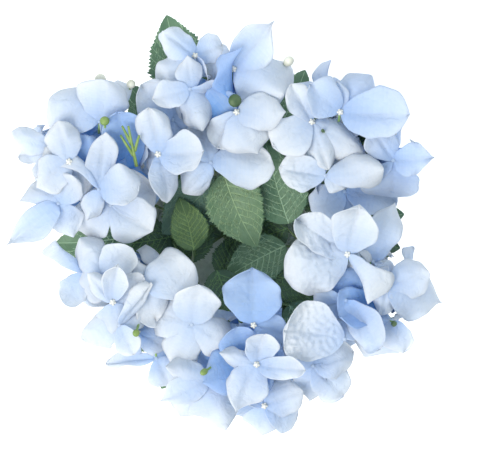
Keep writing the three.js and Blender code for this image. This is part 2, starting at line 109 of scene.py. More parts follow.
NORTHWEST = (
    ("light", (-84, 25, 204), (8, 8, 0, 27, 27), (86, -4, 0, 37, 20), (106, 4, 62, 37, 13),
     (250, -8, 0, 22, 15)),
    ("pale", (-103, 43, 205), (108, 8, 0, 27, 23), (215, -12, 0, 27, 25), (168, -4, 0, 23, 14),
     (290, -18, 30, 25, 15)),
    ("light", (-84, 69, 198), (82, 8, 0, 28, 34), (159, 0, 12, 36, 32, -1), (45, -8, 30, 33, 17),
     (350, -45, 0, 30, 28)),
    ("pale", (-116, 51, 196), (161, -5, 0, 27, 17), (186, -18, 0, 24, 13), (60, -10, 0, 20, 18),
     (270, -30, 0, 24, 24)),
    ("pale", (-77, 15, 196), (325, -8, 0, 32, 33), (27, -4, 0, 32, 33), (212, -12, 0, 33, 28),
     (150, -25, 0, 28, 26)),
    ("blue", (-63, 38, 186), (105, 0, 0, 38, 30), (285, -10, 0, 30, 26), (200, -15, 0, 24, 24)),
    ("light", (-111, 16, 196), (223, -7, 0, 41, 21, 1), (60, 10, 0, 23, 23), (290, -26, 0, 25, 23),
     (168, -8, -35, 24, 16)),
)
SOUTHWEST = (
    ("pale", (-54, -41, 203), (32, -3, 0, 36, 35, -1), (112, -24, 0, 22, 16), (290, -38, 0, 24, 24)),
    ("pale", (-75, -48, 204), (85, 10, 0, 27, 17), (130, 5, 0, 25, 12), (275, -13, 0, 30, 24),
     (35, -32, 0, 22, 18)),
    ("pale", (-71, -63, 200), (57, 13, 60, 35, 17), (300, -8, 0, 21, 17), (40, -32, 0, 27, 22),
     (200, -30, 0, 26, 24)),
    ("pale", (-82, -31, 200), (122, 0, 0, 29, 22), (45, -12, 0, 25, 24), (215, -25, 0, 26, 24)),
    ("light", (-94, -30, 191), (120, -5, 58, 30, 17), (236, -14, 0, 21, 20), (262, -24, 0, 36, 22),
     (310, -20, 0, 26, 22)),
    ("pale", (-24, -63, 196), (80, 8, 0, 29, 31), (335, -6, 0, 31, 26), (160, -4, 0, 32, 27),
     (246, -9, 0, 32, 26)),
    ("mid", (-60, -68, 189), (328, -26, 0, 26, 20), (220, -30, 0, 26, 24), (120, -6, 0, 24, 22),
     (40, -12, 0, 22, 22)),
    ("light", (-48, -86, 181), (182, -4, 45, 34, 12), (60, -20, 0, 26, 26), (300, -30, 0, 22, 22)),
)
SOUTH = (
    ("blue", (-2, -84, 188), (110, -6, 0, 24, 24), (20, -10, 0, 24, 24), (200, -8, 0, 26, 26),
     (285, -8, 0, 24, 24)),
    ("light", (18, -88, 207), (80, -18, 0, 20, 22), (165, -4, 0, 25, 13), (350, -5, 0, 31, 16),
     (242, -13, 0, 30, 28)),
    # The dim tone of the next floret is painted shade for a petal in shadow.
    ("dim", (16, -63, 198), (92, -2, 0, 37, 38), (345, -22, 0, 25, 23), (195, -32, 0, 21, 19),
     (270, -45, 0, 22, 22)),
    ("light", (-14, -98, 195), (165, -4, 0, 27, 19), (208, -9, 0, 34, 20, 1), (292, -14, 0, 36, 36),
     (236, -10, 0, 38, 32)),
    ("light", (23, -116, 193), (22, -4, 0, 27, 25), (342, -16, 0, 31, 26), (262, -28, 0, 20, 25),
     (150, -18, 28, 23, 14)),
    ("light", (55, -90, 191), (15, -8, 0, 30, 26), (262, -18, 0, 30, 24), (314, -18, 0, 33, 27),
     (150, -4, 0, 32, 24)),
)
SOUTHEAST = (
    ("mid", (89, -38, 191), (15, -10, 0, 24, 24), (105, -12, 0, 24, 24), (195, -10, 0, 24, 24),
     (280, -10, 0, 26, 26)),
    ("pale", (77, -17, 203), (78, 12, 0, 34, 31), (197, 4, 0, 43, 38, -0.6, 1.5),
     (146, -9, 0, 41, 24, 0, 1.8), (300, 14, 62, 35, 17)),
    ("pale", (75, -72, 201), (167, 7, 0, 41, 40, -1, 2.4), (60, -20, 0, 26, 24)),
    ("mid", (76, -47, 199), (313, 0, 14, 38, 24), (200, -25, 0, 27, 24)),
    ("light", (103, -37, 204), (12, 0, 0, 28, 26), (337, -7, 0, 42, 33, 0.7), (255, -14, 0, 21, 14),
     (160, -48, 0, 20, 22)),
    ("light", (106, -60, 198), (237, -13, 0, 36, 32), (286, -18, 0, 25, 21), (200, -18, 0, 33, 27)),
    ("light", (94, -22, 193), (74, -4, 0, 40, 23), (8, -32, 0, 18, 18)),
)
# The lilac tone of these florets is painted shade: they face away from the key.
NORTHEAST = (
    ("pale", (54, 69, 198), (215, 5, 0, 30, 28), (285, -8, 0, 33, 19), (120, 0, 0, 28, 18),
     (328, -5, 0, 43, 22)),
    ("lilac", (72, 75, 201), (353, 5, 0, 45, 34), (50, -9, 0, 33, 27), (142, 4, 0, 27, 26),
     (100, -10, 0, 19, 14)),
    ("pale", (63, 34, 195), (172, -5, 0, 31, 25, -0.3, 1.6), (7, 5, 0, 38, 23, -1), (325, -8, 0, 15, 14)),
    ("lilac", (107, 44, 195), (0, -4, 0, 25, 22, 1), (125, -4, 0, 24, 22), (266, -22, 0, 32, 38),
     (190, -25, 0, 26, 24)),
    ("mid", (76, 24, 181), (350, -4, 0, 39, 25), (215, -14, 0, 26, 26), (306, -18, 0, 28, 26)),
    ("lilac", (63, 84, 185), (90, 0, 28, 26, 9), (30, -20, 0, 22, 22), (170, -25, 0, 26, 24)),
    ("lilac", (88, 78, 187), (58, -4, 0, 16, 18), (330, -20, 0, 23, 23), (120, -20, 0, 15, 16)),
)

# Each head: its name, the bearing and reach of its centre in plan, the share of the full dome that its hidden
# florets stand on, and the florets that show.
HEADS = (
    ("north", 96, 0.083, 0.9, NORTH),
    ("northwest", 155, 0.100, 0.9, NORTHWEST),
    ("southwest", 215, 0.074, 0.62, SOUTHWEST),
    ("south", 279, 0.087, 0.84, SOUTH),
    ("southeast", 336, 0.099, 0.8, SOUTHEAST),
    ("northeast", 33, 0.099, 0.8, NORTHEAST),
)

# Leaves in the middle and in the gaps: bough, base (mm), heading, pitch below level, share of full size, tone.
SHOWN_LEAVES = (
    # Rows in the darkest tone are painted shade: dark leaves set in the shadowed gaps under the heads.
    ("north", (-4, 37, 158), 294, 6, 1.0, "fresh"),
    ("north", (-9, 34, 152), 226, 4, 0.96, "teal"),
    ("north", (-24, 83, 158), 107, -4, 1.12, "green"),
    ("northeast", (40, 3, 148), 106, -8, 1.0, "green"),
    ("southwest", (-23, -12, 132), 106, 0, 0.98, "olive"),
    ("southwest", (-34, -24, 126), 68, 2, 0.9, "dusk"),
    ("southeast", (38, -12, 134), 209, 2, 0.86, "green"),
    ("south", (-9, -29, 136), 290, -4, 0.8, "dusk"),
    ("south", (26, -32, 132), 342, -2, 0.8, "dusk"),
    ("southeast", (40, 0, 127), 195, 4, 0.8, "dusk"),
    ("south", (14, -44, 126), 96, 2, 0.8, "dusk"),
    ("northwest", (-44, 12, 126), 335, 4, 0.75, "dusk"),
    ("southwest", (-24, -15, 155), 106, -3, 0.66, "olive"),
    ("southwest", (-40, -6, 130), 189, -6, 0.85, "dusk"),
    ("south", (-6, -34, 122), 66, 0, 0.62, "dusk"),
    ("north", (8, 38, 140), 52, -4, 0.85, "dusk"),
    ("south", (26, -34, 124), 302, -6, 0.9, "dusk"),
    ("northeast", (40, 22, 132), 18, -6, 0.9, "dusk"),
    ("southeast", (68, -7, 148), 352, -8, 0.85, "dusk"),
    ("southeast", (70, -40, 148), 345, -8, 0.85, "dusk"),
    ("northeast", (62, 40, 150), 22, -8, 0.85, "dusk"),
)

# Each bough's own leaves: the base's reach and height (mm), the turn from the bough's bearing, pitch, share
# and tone. The first lies in the gap beside the head, so its turn is half the way to the next bough.
GAP_LEAF = (66, 140, None, -4, 0.95, "green")
# The leaves under the heads take the darkest tone, painted shade.
UNDER_LEAVES = ((60, 127, 15, 10, 1.0, "dusk"), (60, 117, 46, 18, 0.92, "dusk"))

# ---- sizes of the finer forms ----

MM = 0.001
TURN = 6.28  # near enough to a full turn for a chance phase

# The main stem's flutes, and the ribbed sleeve of a bough.
FLUTES = Named(count=11, depth=0.035, twist=60, swells=5, swell=0.02)
SLEEVE = Named(
    steps=90, sides=14, least=0.94, rib=0.03, ribs=150, swelling=0.16, swelling_width=0.018,
    swellings=(0.22, 0.42, TWIG.at, 0.8),
)

# The petals' cloth. Folds, curls and frills raise it by lift at most off the form that the solids have.
CLOTH = Named(
    thickness=0.00042, skew=0.09, uneven=0.09, nibble=0.035, ruffle=0.105, curl=0.28, fold=0.28, pleat=0.36,
    pleats=2, lift=0.005, crease=0.0008, crease_width=0.0013, crumple=0.0010, crumples=4, crumple_size=0.0017,
)
CROWN_GRID = (20, 17)
CRUSHED_GRID = (60, 52)
INNER_GRID = (13, 11)

# How a petal finds room: the rough grid that is tested, what crossing a leaf or bough counts for against
# crossing a petal, and the most that a hidden petal may cross.
TEST_GRID = (7, 5)
LIMB_WEIGHT = 3
MOST_CROSSED = 4

PINWHEEL = 9  # each domed petal's twist, so that it lies over one neighbour and under the other
GOLDEN_ANGLE = 137.5
INNER = Named(count=9, reach=0.70, scale=0.80, least_lean=10, most_lean=80)
BEAD = Named(radius=0.0013, height=0.0014, lobe=0.0009, ring=0.0014, drop=0.0005, lobes=5)
SHUT_EYE = 0.0014
SHOOT_RADIUS = 0.0012
BOW = Named(pedicel=0.003, bud=0.001, petiole=0.0015)

# The listed florets, by number in their head, whose eye is shut: their petals are drawn together over it.
SHUT_EYES = {
    "north": (0, 3, 5, 7, 8),
    "northwest": (0, 2, 4, 5, 6),
    "southwest": (0, 2, 3, 4, 5, 7),
    "south": (0, 3, 5),
    "southeast": (0, 2, 3, 5, 6),
    "northeast": (2, 3, 4, 5, 6),
}

# Buds that show among the petals: place and radius (mm), length as a share of width, tone. Then bare shoots:
# from, to (mm).
# Buds in the dark tone sit deep among the petals; their darkness is partly painted shade.
BUDS = {
    "north": (((4, 82, 209), 4.4, 0.7, "shaded_dark"), ((39, 109, 190), 3.2, 1.2, "cream")),
    "northwest": (
        ((-80, 69, 207), 3.2, 0.8, "fresh"),
        ((-84, 97, 192), 3.8, 1.0, "cream"),
        ((-64, 94, 191), 3.0, 1.0, "cream"),
    ),
    "southwest": (((-60, -68, 203), 2.3, 1.2, "fresh"),),
    "south": (((-16, -93, 204), 2.2, 1.7, "fresh"), ((8, -60, 190), 2.2, 1.4, "shaded_dark")),
    "southeast": (((107, -62, 201), 2.0, 1.0, "shaded_dark"),),
    "northeast": (((61, 63, 200), 1.2, 1.5, "shaded_dark"),),
}
SHOOTS = {
    "northwest": (
        ((-60, 40, 198), (-65, 66, 204)), ((-62, 47, 200), (-70, 60, 204)),
        ((-61, 50, 200), (-58, 60, 203)), ((-63, 54, 201), (-69, 66, 204)),
    )
}
BUD_TONES = {
    "fresh": ((0.13, 0.23, 0.05), (0.28, 0.38, 0.11)),
    # The dark tone is partly the buds' own deep green and partly painted shade, for buds set deep in crevices
    # between petals and in a hollow.
    "shaded_dark": ((0.035, 0.075, 0.03), (0.09, 0.15, 0.06)),
    "cream": ((0.55, 0.54, 0.42), (0.78, 0.77, 0.66)),
}

# A leaf's printed blade with its teeth, and its veins: the midrib, the side veins in pairs, and the net.
BLADE = Named(thickness=0.0006, quilt=0.0009, wave=0.0016, sway=0.0022, teeth=28, tooth=0.09)
VEIN = Named(
    pairs=7, first=0.02, sweep=0.30, span=0.68, stagger=0.35, bow=1.15, net=14,
    midrib=0.00060, lateral=0.00046, tertiary=0.00021, lift=0.00038,
)

# Each leaf tone: the printed cloth's two greens, and its veins' colour.
LEAF_TONES = {
    "fresh": ((0.095, 0.18, 0.085), (0.175, 0.27, 0.15), (0.36, 0.50, 0.27)),
    "green": ((0.07, 0.15, 0.08), (0.14, 0.24, 0.135), (0.36, 0.52, 0.33)),
    "olive": ((0.05, 0.11, 0.035), (0.11, 0.19, 0.07), (0.24, 0.36, 0.13)),
    "teal": ((0.055, 0.13, 0.09), (0.10, 0.19, 0.135), (0.19, 0.31, 0.20)),
    # The darkest tone below is painted shade, for leaves that lie under the heads and between the others.
    "dusk": ((0.04, 0.09, 0.05), (0.08, 0.15, 0.08), (0.17, 0.30, 0.12)),
}
# The skirt's mid tones and the inner florets' deep tone are painted shade for the florets hidden under and
# between the crown.
SKIRT_TONES = ("light", "mid", "light", "mid", "mid")
INNER_SHADE_TONE = "blue"

# The petal cloths run in steps from pale to deep: the colour that shows, and that of light through the cloth.
# A floret's tone is the share of the way at a petal's edge, and how much further it is at the foot. Past the
# cloth's own pale blue the deeper tones are painted shade: lilac for florets turned away from the key, dim for
# a petal in shadow, blue for florets deep in the gaps, and mid partly the cloth's own blue and partly painted
# shade in the gaps.
CLOTH_STEPS = 33
HIGH_CLOTH = ((0.917, 0.908, 0.885), (0.15, 0.42, 0.80))
THROUGH_CLOTH = ((0.78, 0.82, 0.87), (0.08, 0.42, 0.93))
THROUGH_SHARE = 0.42
MOTTLE = (0.93, 0.95, 0.985)
BLEND = (0.3, 0.7)  # the part of a noise's range in which colours blend
TONES = {
    "pale": (0.02, 0.36), "light": (0.05, 0.44), "lilac": (0.20, 0.34),
    "mid": (0.15, 0.52), "dim": (0.45, 0.22), "blue": (0.54, 0.44),
}

# ---- sizes of the stage ----

VIEW = Named(height=0.19, distance=1.2, width=0.327, centre=(0.0137, 0.0016), sensor=36.0)
FLOOR = 3.0
SKY = Named(color=(0.81, 0.93, 1.03), strength=0.69)
AIM = (0, 0, 0.15)
KEY = Named(place=(-0.75, -0.65, 1.35), size=1.2, power=24.5, color=(1.0, 0.97, 0.93))
FILL = Named(place=(0.6, 0.8, 1.5), size=1.4, power=8, color=(0.88, 0.95, 1.0))

# ---- small helpers ----


def seeded(seed):
    """The plant's stream of numbers from 0 to 1. The first is passed over, since near seeds start alike."""
    state = seed * 16807 % 2147483647
    while True:
        state = state * 16807 % 2147483647
        yield state / 2147483647


def unit(v):
    return v / np.linalg.norm(v)


def in_plan(bearing, reach, height):
    a = math.radians(bearing)
    return np.array([reach * math.cos(a), reach * math.sin(a), height])


def turned_about(v, axis, degrees):
    """v, at a right angle to the axis, turned about it."""
    a = math.radians(degrees)
    return v * math.cos(a) + np.cross(axis, v) * math.sin(a)


def lerp(a, b, t):
    return a + (b - a) * t


def clamp(x):
    return np.clip(x, 0, 1)


def in_scene(name, data):
    made = bpy.data.objects.new(name, data)
    bpy.context.scene.collection.objects.link(made)
    return made


class Pile:
    """Meshes that are joined into one piece."""

    def __init__(self):
        self.points, self.faces, self.worn, self.size = [], [], [], 0

    def add(self, points, faces, worn=0):
        """Adds a mesh: worn is the number of its faces' material, one for all or one for each."""
        faces = [face for block in faces for face in (np.asarray(block) + self.size).tolist()]
        self.faces.extend(faces)
        self.worn.append(np.broadcast_to(worn, len(faces)))
        self.points.append(np.asarray(points, float).reshape(-1, 3))
        self.size += len(self.points[-1])

    def piece(self, name, materials, slot, nodes):
        """The joined mesh as a piece that rides on the body and stands for the nodes."""
        mesh = bpy.data.meshes.new(name)
        mesh.from_pydata(np.concatenate(self.points).tolist(), [], self.faces)
        mesh.polygons.foreach_set("use_smooth", np.ones(len(mesh.polygons), bool))
        mesh.polygons.foreach_set("material_index", np.concatenate(self.worn).astype(np.int32))
        for material in materials:
            mesh.materials.append(material)
        mesh.update()
        made = in_scene(name, mesh)
        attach(made, "root")
        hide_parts(*nodes)


def numbered(rows, columns):
    return np.arange(rows * columns).reshape(rows, columns)


def quads(at):
    """The faces of a grid of numbered points."""
    return np.stack([at[:-1, :-1], at[:-1, 1:], at[1:, 1:], at[1:, :-1]], -1).reshape(-1, 4)


def grid_faces(rows, columns):
    """The quads of a closed sheet: its face, its back, and the rim between them."""
    at = numbered(rows, columns)
    face = quads(at)
    back = face[:, ::-1] + rows * columns
    rim = np.concatenate([at[0, :-1], at[:-1, -1], at[-1, :0:-1], at[:0:-1, 0]])
    after = np.roll(rim, -1)
    edge = np.stack([after, rim, rim + rows * columns, after + rows * columns], -1)
    return [face, back, edge]


def closed_sheet(grid, thickness):
    """Points on both sides of a grid of points, half a thickness from it."""
    normal = np.cross(np.gradient(grid, axis=1), np.gradient(grid, axis=0))
    normal /= np.maximum(np.linalg.norm(normal, axis=-1, keepdims=True), 1e-12)
    half = normal * (thickness / 2)
    return np.concatenate([(grid - half).reshape(-1, 3), (grid + half).reshape(-1, 3)])


def ring_faces(rings, sides):
    """The faces of a stack of rings: its wall, and a fan from each end ring to an end point."""
    at = numbered(rings, sides)
    after = np.roll(at, -1, axis=1)
    wall = np.stack([at[:-1], after[:-1], after[1:], at[1:]], -1).reshape(-1, 4)
    first = np.stack([after[0], at[0], np.full(sides, at.size)], -1)
    last = np.stack([at[-1], after[-1], np.full(sides, at.size + 1)], -1)
    return wall, first, last


def tube(pile, path, radii, sides, worn=0):
    """A round limb along a path of points, with closed ends."""
    path = np.asarray(path, float)
    tangents = np.gradient(path, axis=0)
    tangents /= np.maximum(np.linalg.norm(tangents, axis=1, keepdims=True), 1e-12)
    helper = np.array([1.0, 0.0, 0.0]) if abs(tangents[0][0]) < 0.9 else np.array([0.0, 1.0, 0.0])
    rings = []
    side = unit(np.cross(tangents[0], helper))
    for point, tangent, radius in zip(path, tangents, np.broadcast_to(radii, len(path))):
        side = unit(side - tangent * side.dot(tangent))
        other = np.cross(tangent, side)
        turn = np.arange(sides)[:, None] * (2 * math.pi / sides)
        rings.append(point + radius * (np.cos(turn) * side + np.sin(turn) * other))
    pile.add(np.concatenate([*rings, path[:1], path[-1:]]), ring_faces(len(path), sides), worn)


def ball(pile, centre, radius, axis=UP, flat=1.0, rings=7, sides=10, worn=0):
    """A ball, flattened along its axis."""
    lean = np.linspace(0, math.pi, rings + 2)[1:-1]
    axis = unit(axis)
    side = unit(np.cross(axis, [0.31, 0.95, 0.1]))
    other = np.cross(axis, side)
    turn = np.arange(sides) * (2 * math.pi / sides)
    ring = np.cos(turn)[:, None] * side + np.sin(turn)[:, None] * other
    points = [centre + radius * (math.sin(a) * ring + math.cos(a) * flat * axis) for a in lean]
    ends = np.array([centre + radius * flat * axis, centre - radius * flat * axis])
    wall, top, foot = ring_faces(rings, sides)
    outward = [wall[:, [0, 3, 2, 1]], top[:, [1, 0, 2]], foot[:, [1, 0, 2]]]
    pile.add(np.concatenate([*points, ends]), outward, worn)


def revolve(pile, profile, sides, wobble=None):
    """A turned form from (radius, height) pairs that start and end on the axis."""
    radius, height = np.array(profile[1:-1]).T
    turn = np.arange(sides) * (2 * math.pi / sides)
    x, y = radius[:, None] * np.cos(turn), radius[:, None] * np.sin(turn)
    points = np.stack([x, y, np.broadcast_to(height[:, None], x.shape)], -1)
    if wobble:
        points = wobble(points)
    ends = np.array([[0, 0, profile[0][1]], [0, 0, profile[-1][1]]])
    pile.add(np.concatenate([points.reshape(-1, 3), ends]), ring_faces(len(radius), sides))


def rounded(profile, radius, steps=5):
    """A profile with its inner corners rounded."""
    profile = [np.array(p, float) for p in profile]
    out = [profile[0]]
    for before, corner, after in zip(profile, profile[1:], profile[2:]):
        back, on = before - corner, after - corner
        cut = min(radius, 0.45 * np.linalg.norm(back), 0.45 * np.linalg.norm(on))
        start, end = corner + unit(back) * cut, corner + unit(on) * cut
        for t in np.linspace(0, 1, steps):
            out.append(lerp(lerp(start, corner, t), lerp(corner, end, t), t))
    return [tuple(p) for p in [*out, profile[-1]]]


# ---- materials ----


def with_inputs(made, **inputs):
    """A node with the values of its inputs."""
    for key, value in inputs.items():
        made.inputs[key.replace("_", " ")].default_value = value
    return made


def shader(name, color, roughness, **inputs):
    """A material with one Principled node: returns it, its tree and that node."""
    material = bpy.data.materials.new(name)
    material.use_nodes = True
    tree = material.node_tree
    principled = tree.nodes["Principled BSDF"]
    return material, tree, with_inputs(principled, Base_Color=(*color, 1), Roughness=roughness, **inputs)


def node(tree, kind, **inputs):
    return with_inputs(tree.nodes.new(kind), **inputs)


def noise(tree, scale, detail=3, rough=0.5, distortion=0.0, stretch=(1, 1, 1)):
    """Noise in the object's own space: scale is in features a metre."""
    place = tree.nodes.new("ShaderNodeTexCoord")
    mapping = node(tree, "ShaderNodeMapping", Scale=stretch)
    tree.links.new(place.outputs["Object"], mapping.inputs["Vector"])
    looks = dict(Scale=scale, Detail=detail, Roughness=rough, Distortion=distortion)
    made = node(tree, "ShaderNodeTexNoise", **looks)
    tree.links.new(mapping.outputs["Vector"], made.inputs["Vector"])
    return made.outputs["Fac"]


def mottled(tree, principled, value, low, high):
    """Blends a shader's colour from low to high by a value."""
    made = tree.nodes.new("ShaderNodeValToRGB")
    for element, position, color in zip(made.color_ramp.elements, BLEND, (low, high)):
        element.position, element.color = position, (*color, 1)
    tree.links.new(value, made.inputs["Fac"])
    tree.links.new(made.outputs["Color"], principled.inputs["Base Color"])


def bumped(tree, principled, *layers):
    """Stacks bumps on a shader: each layer is (height, depth in metres)."""
    normal = None
    for height, depth in layers:
        bump = node(tree, "ShaderNodeBump", Distance=depth, Strength=1.0)
        tree.links.new(height, bump.inputs["Height"])
        if normal:
            tree.links.new(normal, bump.inputs["Normal"])
        normal = bump.outputs["Normal"]
    tree.links.new(normal, principled.inputs["Normal"])
    return normal


def through_light(tree, principled, color, normal):
    """Lets a share of the light behind a thin cloth through it."""
    translucent = node(tree, "ShaderNodeBsdfTranslucent", Color=(*color, 1))
    tree.links.new(normal, translucent.inputs["Normal"])
    mix = node(tree, "ShaderNodeMixShader", Fac=THROUGH_SHARE)
    tree.links.new(principled.outputs["BSDF"], mix.inputs[1])
    tree.links.new(translucent.outputs["BSDF"], mix.inputs[2])
    tree.links.new(mix.outputs["Shader"], tree.nodes["Material Output"].inputs["Surface"])


def cloth(name, low, high, through):
    """Pressed petal cloth: soft mottle, crushed folds, fine weave, and light through it."""
    material, tree, principled = shader(name, high, 0.82, Sheen_Weight=0.25, Sheen_Roughness=0.5)
    mottled(tree, principled, noise(tree, 70, 2), low, high)
    folds = noise(tree, 150, 2, distortion=0.6)
    weave = noise(tree, 1900, 1)
    normal = bumped(tree, principled, (folds, 0.0012), (weave, 0.00008))
    through_light(tree, principled, through, normal)
    return material


def leaf_cloth(name, low, high):
    """Printed leaf cloth, with a coarse grain and a fine weave."""
    material, tree, principled = shader(name, high, 0.6)
    mottled(tree, principled, noise(tree, 60, 4), low, high)
    bumped(tree, principled, (noise(tree, 420, 3, 0.6), 0.0006), (noise(tree, 2200, 1), 0.00008))
    return material


def plastic(name, low, high, roughness, scale=160, depth=0.0003):
    """Moulded plastic, with a grain that runs along the height."""
    material, tree, principled = shader(name, high, roughness)
    mottled(tree, principled, noise(tree, scale), low, high)
    bumped(tree, principled, (noise(tree, scale * 4, 2, stretch=(1, 1, 0.25)), depth))
    return material


def pot_white():
    coat = dict(Coat_Weight=0.25, Coat_Roughness=0.2)
    material, tree, principled = shader("pot_white", (0.76, 0.76, 0.74), 0.32, **coat)
    mottled(tree, principled, noise(tree, 22), (0.70, 0.70, 0.68), (0.78, 0.78, 0.76))
    bumped(tree, principled, (noise(tree, 45), 0.0006), (noise(tree, 900, 2), 0.00006))
    return material


def plaster_grey():
    material, tree, principled = shader("plaster_grey", (0.5, 0.53, 0.54), 0.92)
    mottled(tree, principled, noise(tree, 120, 5, 0.6), (0.48, 0.51, 0.52), (0.70, 0.73, 0.74))
    bumped(tree, principled, (noise(tree, 260, 5, 0.65), 0.0016))
    return material


def cloth_ladder():
    """The petal cloths, from the near white of an edge to the deep blue of a hidden petal's foot; the deep end
    is painted shade.
    """
    cloths = []
    for step, share in enumerate(np.linspace(0, 1, CLOTH_STEPS)):
        high = lerp(*np.array(HIGH_CLOTH), share)
        through = lerp(*np.array(THROUGH_CLOTH), share)
        cloths.append(cloth(f"petal_cloth_{step}", tuple(high * MOTTLE), tuple(high), tuple(through)))
    return cloths


def vein_green(tone, vein):
    return plastic(f"vein_{tone}", tuple(0.8 * c for c in vein), vein, 0.6, 200, 0.0001)


PETAL_CLOTHS = cloth_ladder()
STEM_GREEN = plastic("stem_green", (0.045, 0.095, 0.030), (0.10, 0.17, 0.055), 0.5)
PEDICEL_GREEN = plastic("pedicel_green", (0.16, 0.29, 0.08), (0.30, 0.45, 0.17), 0.5)
BUD_PLASTICS = [plastic(f"bud_{tone}", low, high, 0.55) for tone, (low, high) in BUD_TONES.items()]
BEAD_CREAM = plastic("bead_cream", (0.62, 0.61, 0.54), (0.80, 0.80, 0.77), 0.7, 700, 0.0002)
LEAF_CLOTHS = [leaf_cloth(f"leaf_{tone}", low, high) for tone, (low, high, _) in LEAF_TONES.items()]
VEIN_GREENS = [vein_green(tone, vein) for tone, (_, _, vein) in LEAF_TONES.items()]

# ---- pot, plaster and main stem ----


def pot_wall(z):
    return lerp(POT.foot, POT.rim - POT.lip, z / POT.height)


def solid_bore(z):
    """The radius of the inside of the solids' pot at a height, up to the chamfer of its rim."""
    low = pot_wall(POT.floor) - POT.wall
    high = POT.rim - POT.lip - POT.wall
    return lerp(low, high, (z - POT.floor) / (POT.height - POT.chamfer - POT.floor))


def pot_piece():
    """The pot: one turned shell with a foot ring and a thick lip."""
    bore = POT.rim - POT.lip - POT.wall
    under_lip = POT.height - POT.lip_depth
    profile = [
        (0, 0.0012),
        (POT.foot - 0.006, 0.0012),
        (POT.foot - 0.005, 0),
        (POT.foot - POT.chamfer, 0),
        (POT.foot, POT.chamfer),
        (pot_wall(under_lip), under_lip),
        (POT.rim, under_lip + POT.chamfer),
        (POT.rim, POT.height),
        (bore, POT.height),
        (bore - 0.001, POT.height - 0.004),
        (pot_wall(POT.floor) - POT.wall, POT.floor),
        (0, POT.floor),
    ]
    pile = Pile()
    revolve(pile, rounded(profile, 0.0016), 120)
    pile.piece("pot_shell", [pot_white()], "pot", ["pot"])


def plaster_piece():
    """The filler: rough where it was poured, and drawn up a little at the wall and round the stem."""
    low, top = POT.floor + CLEARANCE, PLASTER.top
    edge = solid_bore(top - PLASTER.dish) - CLEARANCE
    rings = [(r, top - PLASTER.dish * (r / edge) ** 2) for r in np.linspace(edge, 0.0035, 26)]
    profile = [(0, low), (solid_bore(low) - CLEARANCE, low), (edge, top - PLASTER.dish), *rings[1:], (0, top)]
    random = np.random.default_rng(5)
    waves = random.uniform(-1, 1, (14, 3)) * [420, 420, 2 * math.pi]

    def wobble(points):
        x, y, z = np.moveaxis(points, -1, 0)
        lumps = sum(np.sin(a * x + b * y + c) for a, b, c in waves) / len(waves)
        off_wall = clamp((edge - np.hypot(x, y)) / 0.004) * (z > low + 0.001)
        off_stem = clamp((np.hypot(x, y) - STEM.foot) / 0.006)
        points[..., 2] = z + (0.0016 * lumps - 0.0004) * off_wall * off_stem
        return points

    pile = Pile()
    revolve(pile, profile, 96, wobble)
    pile.piece("plaster_fill", [plaster_grey()], "plaster", ["plaster"])


STEM_FOOT = PLASTER.top + CLEARANCE
KNUCKLE_TOP = STEM_FOOT + STEM.height


def stem_piece():
    """The main stem, fluted like a cane, swollen at its foot and at the knuckle that holds the boughs."""
    profile = [
        (0, STEM_FOOT),
        (STEM.foot, STEM_FOOT),
        ((STEM.foot + STEM.waist) / 2, STEM_FOOT + STEM.foot_height),
        (STEM.waist, STEM_FOOT + STEM.waist_height),
        (STEM.waist, KNUCKLE_TOP - STEM.knuckle_depth),
        (STEM.knuckle, KNUCKLE_TOP - STEM.knuckle_depth / 2),
        (STEM.knuckle, KNUCKLE_TOP - STEM.chamfer),
        (STEM.knuckle - STEM.chamfer, KNUCKLE_TOP),
        (0, KNUCKLE_TOP),
    ]
    smooth = rounded(profile, 0.003, 6)

    def flutes(points):
        turn = np.arctan2(points[..., 1], points[..., 0])
        flute = FLUTES.depth * (0.5 + 0.5 * np.cos(FLUTES.count * turn + FLUTES.twist * points[..., 2]))
        swell = FLUTES.swell * (0.5 + 0.5 * np.sin(FLUTES.swells * turn))
        points[..., :2] *= (1 - flute - swell)[..., None]
        return points

    pile = Pile()
    revolve(pile, smooth, 66, flutes)
    pile.piece("main_stem_cane", [STEM_GREEN], "stem", ["main_stem"])


# ---- boughs ----


def head_plan(bearing, reach):
    """The points that a bough and its flower head share."""
    centre = in_plan(bearing, reach, HEAD.centre)
    rise = unit(in_plan(bearing, HEAD.lean, 1))
    hub = centre - rise * HEAD.hub_drop
    return Named(centre=centre, rise=rise, hub=hub, tip=hub - rise * HEAD.stalk)


def bough_path(bearing, reach, steps):
    """Points at even lengths along a bough."""
    plan = head_plan(bearing, reach)
    root = in_plan(bearing, BOUGH.ring, KNUCKLE_TOP + CLEARANCE)
    bend = plan.tip - plan.rise * BOUGH.bend * reach
    bend[2] = max(bend[2], root[2] + BOUGH.least_rise)
    out = root + UP * BOUGH.upright
    t = np.linspace(0, 1, 201)[:, None]
    curve = (1 - t) ** 3 * root + 3 * (1 - t) ** 2 * t * out + 3 * (1 - t) * t**2 * bend + t**3 * plan.tip
    length = np.concatenate([[0], np.cumsum(np.linalg.norm(np.diff(curve, axis=0), axis=1))])
    at = np.linspace(0, length[-1], steps)
    return np.stack([np.interp(at, length, curve[:, k]) for k in range(3)], -1)


def bough_piece(name, bearing, reach):
    """A bough: a ribbed sleeve over wire, with a slight swelling where each leaf pair would be."""
    share = np.linspace(0, 1, SLEEVE.steps)
    radius = lerp(BOUGH.root, BOUGH.tip, share)
    swellings = sum(np.exp(-(((share - at) / SLEEVE.swelling_width) ** 2)) for at in SLEEVE.swellings)
    ribs = SLEEVE.rib * np.sin(share * SLEEVE.ribs)
    radius = radius * (SLEEVE.least + SLEEVE.swelling * swellings + ribs)
    pile = Pile()
    tube(pile, bough_path(bearing, reach, SLEEVE.steps), radius, SLEEVE.sides)
    pile.piece(f"bough_{name}_sleeve", [STEM_GREEN], "stem", [f"bough_{name}"])


# ---- petals ----


